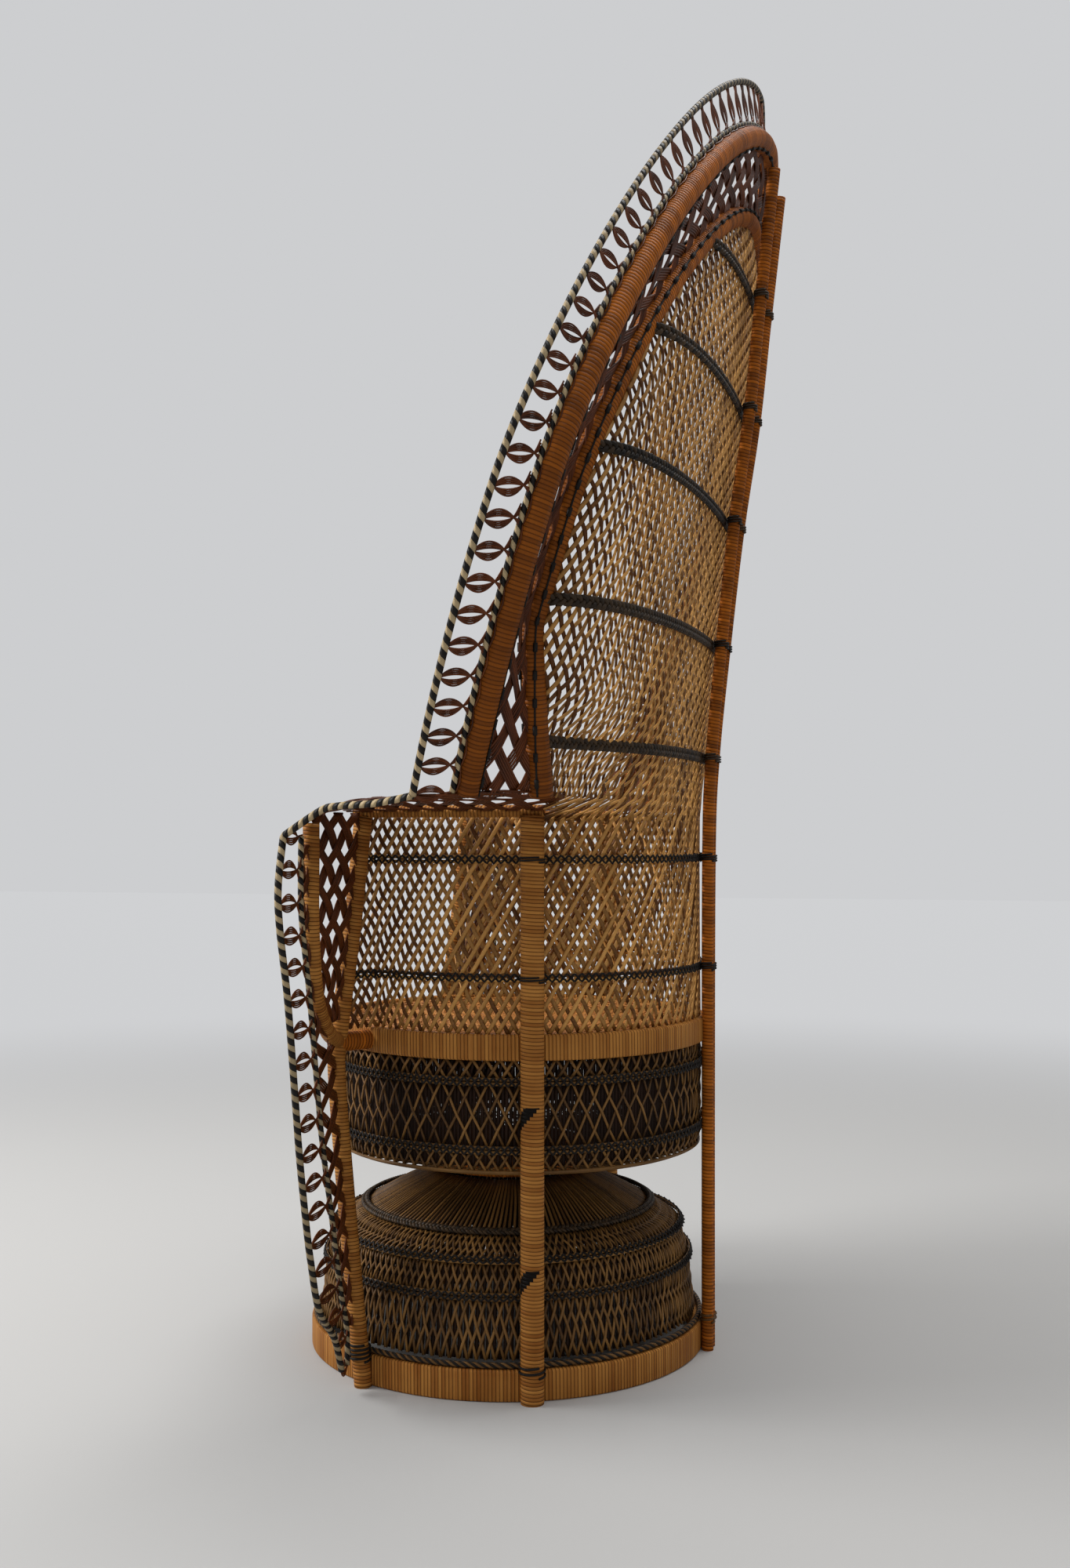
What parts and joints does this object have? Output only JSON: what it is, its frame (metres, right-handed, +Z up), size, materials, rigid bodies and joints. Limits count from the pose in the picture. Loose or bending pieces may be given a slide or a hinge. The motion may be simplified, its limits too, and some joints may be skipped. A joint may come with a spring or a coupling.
{
  "type": "peacock chair",
  "caption": "Woven rattan armchair with a tall leaning fan back, wrapped hoops, a lace border in two-tone cane, winged arms and a waisted basket pedestal.",
  "frame": {"origin": "middle of the chair's width and length, on the floor", "axes": "+Z up, -Y the way the sitter faces, +X to the sitter's left"},
  "size_m": [1.1082, 0.6032, 1.5573],
  "materials": {
    "wrapped_cane": "rattan poles wound closely with amber cane, satin lacquer",
    "wrapped_cane_light": "rattan wound closely with pale honey cane, satin lacquer",
    "woven_cane": "split cane in an open diamond weave, thin worn lacquer",
    "lace_cane": "thin dark brown cane bent into loops and crossings",
    "black_cane": "cane dyed black, plaited over a pale core",
    "striped_cane": "rod wound in turns of black and cream cane"
  },
  "bodies": {
    "root": {"front_leg_left": "wrapped_cane", "front_leg_right": "wrapped_cane", "side_leg_left": "wrapped_cane_light", "side_leg_right": "wrapped_cane_light", "rear_pole_left": "wrapped_cane", "rear_pole_right": "wrapped_cane", "outer_hoop": "wrapped_cane", "inner_hoop": "wrapped_cane", "hood_rim": "striped_cane", "wing_rim_left": "striped_cane", "wing_rim_right": "striped_cane", "arm_rail_left": "wrapped_cane", "arm_rail_right": "wrapped_cane", "wing_tube_left": "wrapped_cane", "wing_tube_right": "wrapped_cane", "foot_ring": "wrapped_cane", "foot_braid": "striped_cane", "waist_ring": "wrapped_cane", "seat_ring": "wrapped_cane_light", "seat_tie_left": "wrapped_cane", "seat_tie_right": "wrapped_cane", "base_braid_1": "black_cane", "base_braid_2": "black_cane", "base_braid_3": "black_cane", "drum_braid_1": "black_cane", "drum_braid_2": "black_cane", "band_1": "black_cane", "band_2": "black_cane", "band_3": "black_cane", "band_4": "black_cane", "band_5": "black_cane", "band_6": "black_cane", "band_7": "black_cane", "hood_rod": "striped_cane", "wing_rod_left": "striped_cane", "wing_rod_right": "striped_cane", "hood_lace": "lace_cane", "wing_lace_left": "lace_cane", "wing_lace_right": "lace_cane", "base_basket": "woven_cane", "drum_basket": "woven_cane", "seat_panel": "woven_cane", "basket_wall": "woven_cane", "back_hood": "woven_cane", "hood_diamond_lace": "lace_cane", "arm_panel_left": "lace_cane", "arm_panel_right": "lace_cane", "wing_panel_left": "lace_cane", "wing_panel_right": "lace_cane", "wing_web_left": "lace_cane", "wing_web_right": "lace_cane"}
  },
  "joints": []
}
